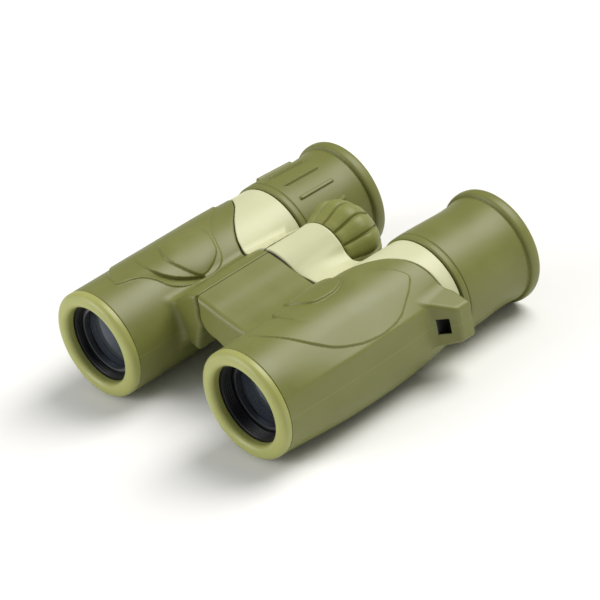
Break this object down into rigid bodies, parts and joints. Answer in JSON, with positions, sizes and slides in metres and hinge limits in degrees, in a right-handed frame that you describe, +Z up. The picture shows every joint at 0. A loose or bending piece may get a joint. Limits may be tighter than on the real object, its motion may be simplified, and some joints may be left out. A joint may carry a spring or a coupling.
{
  "type": "compact binoculars",
  "caption": "Compact roof-prism binoculars with rubber armour, a central folding hinge, a ribbed focus wheel, a dioptre ring on the right eyecup and strap lugs.",
  "frame": {"origin": "centre of the footprint, on the plane the eyecups rest on", "axes": "+Y runs along the optical axes towards the eyecups, +Z is up when the hinge is on top, +X is the user's left"},
  "size_m": [0.112, 0.103, 0.0384],
  "materials": {
    "armour_rubber": "satin olive rubber",
    "rim_rubber": "satin light olive rubber",
    "eyecup_rubber": "satin olive rubber",
    "grip_rubber": "satin olive rubber",
    "body_plastic": "cream moulded ABS",
    "black_alloy": "black anodised",
    "grey_alloy": "grey anodised",
    "inner_plastic": "black moulded",
    "coated_glass": "blue coated",
    "prism_glass": "polished",
    "spring_steel": "bare",
    "zinc_arm": "bare die-casting",
    "brass": "turned"
  },
  "bodies": {
    "left_half": {"left_objective_rim": "rim_rubber", "left_front_ring": "black_alloy", "left_armour": "armour_rubber", "left_body": "body_plastic", "left_bridge_shell": "body_plastic", "left_baffle": "inner_plastic", "left_prism_holder": "inner_plastic", "left_half_penta_prism": "prism_glass", "left_roof_prism": "prism_glass", "left_prism_clip": "spring_steel", "left_eyepiece_tube": "inner_plastic", "left_field_lens": "coated_glass", "left_eyepiece_spacer": "inner_plastic", "left_eye_lens": "coated_glass", "left_eyepiece_retainer": "inner_plastic", "left_eyecup": "eyecup_rubber", "hinge_axle": "spring_steel", "front_hinge_washer": "spring_steel", "rear_hinge_washer": "spring_steel"},
    "right_half": {"right_objective_rim": "rim_rubber", "right_front_ring": "black_alloy", "right_armour": "armour_rubber", "right_body": "body_plastic", "right_bridge_shell": "body_plastic", "right_baffle": "inner_plastic", "right_prism_holder": "inner_plastic", "right_half_penta_prism": "prism_glass", "right_roof_prism": "prism_glass", "right_prism_clip": "spring_steel"},
    "dioptre_ring": {"right_dioptre_eyecup": "eyecup_rubber"},
    "right_eyepiece": {"right_eyepiece_tube": "inner_plastic", "right_field_lens": "coated_glass", "right_eyepiece_spacer": "inner_plastic", "right_eye_lens": "coated_glass", "right_eyepiece_retainer": "inner_plastic"},
    "left_objective": {"left_objective_cell": "black_alloy", "left_objective_retainer": "grey_alloy", "left_objective_crown": "coated_glass", "left_objective_flint": "coated_glass", "left_focus_arm": "zinc_arm"},
    "right_objective": {"right_objective_cell": "black_alloy", "right_objective_retainer": "grey_alloy", "right_objective_crown": "coated_glass", "right_objective_flint": "coated_glass", "right_focus_arm": "zinc_arm"},
    "focus_wheel": {"focus_wheel_core": "inner_plastic", "focus_wheel_grip": "grip_rubber", "focus_wheel_cap": "inner_plastic", "focus_screw": "spring_steel"},
    "focus_carriage": {"focus_nut": "brass"}
  },
  "joints": [
    {"name": "fold", "type": "hinge", "parent": "left_half", "child": "right_half", "pos_m": [0, 0, 0.0253], "axis": [0, -1, 0], "range_deg": [0, 56]},
    {"name": "focus_turn", "type": "hinge", "parent": "left_half", "child": "focus_wheel", "pos_m": [0, 0.0233, 0.0253], "axis": [0, 1, 0], "range_deg": [-90, 270]},
    {"name": "carriage_slide", "type": "slide", "parent": "left_half", "child": "focus_carriage", "axis": [0, -1, 0], "range_m": [-0.00063, 0.00188]},
    {"name": "left_objective_slide", "type": "slide", "parent": "left_half", "child": "left_objective", "axis": [0, -1, 0], "range_m": [-0.00063, 0.00188]},
    {"name": "right_objective_slide", "type": "slide", "parent": "right_half", "child": "right_objective", "axis": [0, -1, 0], "range_m": [-0.00063, 0.00188]},
    {"name": "dioptre_turn", "type": "hinge", "parent": "right_half", "child": "dioptre_ring", "pos_m": [-0.03243, 0.036, 0.0181], "axis": [0, 1, 0], "range_deg": [-40, 40]},
    {"name": "right_eyepiece_slide", "type": "slide", "parent": "right_half", "child": "right_eyepiece", "axis": [0, 1, 0], "range_m": [-0.0006, 0.0006]}
  ],
  "couplings": [
    {"joint": "carriage_slide", "follows": "focus_turn", "m_per_rad": 0.00039789},
    {"joint": "left_objective_slide", "follows": "focus_turn", "m_per_rad": 0.00039789},
    {"joint": "right_objective_slide", "follows": "focus_turn", "m_per_rad": 0.00039789},
    {"joint": "right_eyepiece_slide", "follows": "dioptre_turn", "m_per_rad": 0.00085944}
  ]
}
